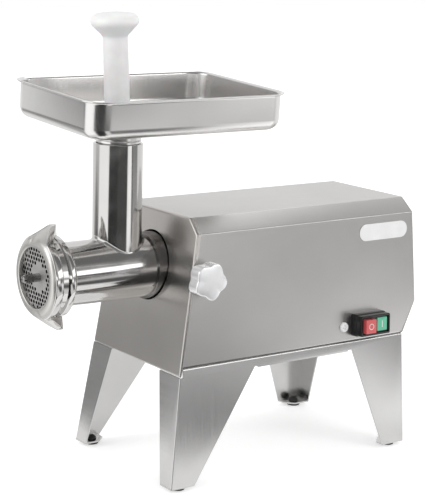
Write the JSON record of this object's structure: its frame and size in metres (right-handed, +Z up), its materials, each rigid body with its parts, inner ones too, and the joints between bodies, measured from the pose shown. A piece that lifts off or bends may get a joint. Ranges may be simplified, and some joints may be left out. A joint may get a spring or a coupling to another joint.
{
  "type": "electric meat grinder",
  "caption": "Countertop electric meat grinder: sheet steel housing on splayed legs, geared motor, and a removable head with feed column, tray, plunger, auger and plate.",
  "frame": {"origin": "on the worktop under the middle of the machine, in its symmetry plane", "axes": "+Z up, -Y towards the discharge end, +X towards the clamp knob and the switch"},
  "size_m": [0.2298, 0.518, 0.5511],
  "materials": {
    "stainless_sheet": "satin, brushed",
    "polished_steel": "mirror polished",
    "tool_steel": "ground",
    "machine_steel": "turned",
    "fastener": "bright",
    "cast_aluminium": "cast",
    "bronze": "turned",
    "copper_winding": "varnished",
    "lamination": "stacked sheet",
    "rubber": "matt",
    "black_plastic": "gloss",
    "red_plastic": "gloss",
    "green_plastic": "gloss",
    "white_plastic": "gloss",
    "plunger_plastic": "satin, slightly translucent",
    "grey_plastic": "matt",
    "painted_steel": "painted"
  },
  "bodies": {
    "machine": {"badge_plate": "white_plastic", "base_plate": "stainless_sheet", "cable_gland": "black_plastic", "contact_block": "black_plastic", "countershaft_bearing_front": "machine_steel", "countershaft_bearing_rear": "machine_steel", "cover_screws": "fastener", "foot_front_left": "rubber", "foot_front_right": "rubber", "foot_rear_left": "rubber", "foot_rear_right": "rubber", "front_end_bell": "cast_aluminium", "front_panel": "stainless_sheet", "front_winding": "copper_winding", "gearbox_bolts": "fastener", "gearbox_case": "cast_aluminium", "gearbox_cover": "cast_aluminium", "housing_cover": "stainless_sheet", "hub_socket": "cast_aluminium", "left_leg_frame": "stainless_sheet", "motor_bearing_front": "machine_steel", "motor_bearing_rear": "machine_steel", "motor_cradle": "painted_steel", "motor_shell": "cast_aluminium", "output_bearing_front": "machine_steel", "output_bearing_rear": "machine_steel", "rear_end_bell": "cast_aluminium", "rear_panel": "stainless_sheet", "rear_winding": "copper_winding", "right_leg_frame": "stainless_sheet", "run_capacitor": "grey_plastic", "shaft_seal": "rubber", "stator_core": "lamination", "switch_housing": "black_plastic", "terminal_block": "grey_plastic"},
    "rotor": {"motor_shaft": "machine_steel", "rotor_core": "lamination", "motor_fan": "black_plastic", "motor_pinion": "machine_steel"},
    "countershaft": {"countershaft": "machine_steel", "countershaft_pinion": "machine_steel", "countershaft_gear": "machine_steel"},
    "output": {"output_shaft": "machine_steel", "output_gear": "machine_steel"},
    "head": {"grinder_head": "polished_steel", "plate_key": "tool_steel", "auger_bush": "bronze"},
    "auger": {"auger": "tool_steel", "auger_stud": "tool_steel", "knife": "tool_steel"},
    "plate": {"grinding_plate": "tool_steel"},
    "nut": {"ring_nut": "polished_steel"},
    "pad": {"clamp_pad": "machine_steel"},
    "knob": {"clamp_knob": "white_plastic", "clamp_spindle": "machine_steel"},
    "stop_button": {"stop_button": "red_plastic"},
    "start_button": {"start_button": "green_plastic"},
    "tray": {"tray_pan": "stainless_sheet", "tray_collar": "stainless_sheet"},
    "plunger": {"plunger": "plunger_plastic"}
  },
  "joints": [
    {"name": "rotor_spin", "type": "hinge", "parent": "machine", "child": "rotor", "pos_m": [0, 0.13, 0.2495], "axis": [0, 1, 0], "continuous": true},
    {"name": "countershaft_spin", "type": "hinge", "parent": "machine", "child": "countershaft", "pos_m": [0, 0.02, 0.1955], "axis": [0, 1, 0], "continuous": true},
    {"name": "output_spin", "type": "hinge", "parent": "machine", "child": "output", "pos_m": [0, -0.02, 0.2495], "axis": [0, 1, 0], "continuous": true},
    {"name": "head_slide", "type": "slide", "parent": "machine", "child": "head", "axis": [0, -1, 0], "range_m": [0, 0.06]},
    {"name": "auger_spin", "type": "hinge", "parent": "head", "child": "auger", "pos_m": [0, -0.15, 0.2495], "axis": [0, 1, 0], "continuous": true},
    {"name": "plate_travel", "type": "slide", "parent": "head", "child": "plate", "axis": [0, -1, 0], "range_m": [0, 0.02]},
    {"name": "nut_turn", "type": "hinge", "parent": "plate", "child": "nut", "pos_m": [0, -0.23, 0.2495], "axis": [0, -1, 0], "range_deg": [0, 1800]},
    {"name": "pad_travel", "type": "slide", "parent": "machine", "child": "pad", "axis": [1, 0, 0], "range_m": [0, 0.006]},
    {"name": "knob_turn", "type": "hinge", "parent": "pad", "child": "knob", "pos_m": [0.1, -0.0768, 0.2495], "axis": [1, 0, 0], "range_deg": [0, 1440]},
    {"name": "stop_press", "type": "slide", "parent": "machine", "child": "stop_button", "axis": [-0.9988, 0, -0.0498], "range_m": [0, 0.003], "stiffness_N_per_m": 400, "springref_m": -0.004},
    {"name": "start_press", "type": "slide", "parent": "machine", "child": "start_button", "axis": [-0.9988, 0, -0.0498], "range_m": [0, 0.003], "stiffness_N_per_m": 400, "springref_m": -0.004},
    {"name": "tray_lift", "type": "slide", "parent": "head", "child": "tray", "axis": [0, 0, 1], "range_m": [0, 0.08]},
    {"name": "plunger_lift", "type": "slide", "parent": "head", "child": "plunger", "axis": [0, -0.0523, 0.9986], "range_m": [0, 0.24]}
  ],
  "couplings": [
    {"joint": "countershaft_spin", "follows": "rotor_spin", "ratio": -0.33333},
    {"joint": "output_spin", "follows": "rotor_spin", "ratio": 0.11111},
    {"joint": "auger_spin", "follows": "rotor_spin", "ratio": 0.11111},
    {"joint": "plate_travel", "follows": "nut_turn", "m_per_rad": 0.0006366},
    {"joint": "pad_travel", "follows": "knob_turn", "m_per_rad": 0.00023873}
  ]
}
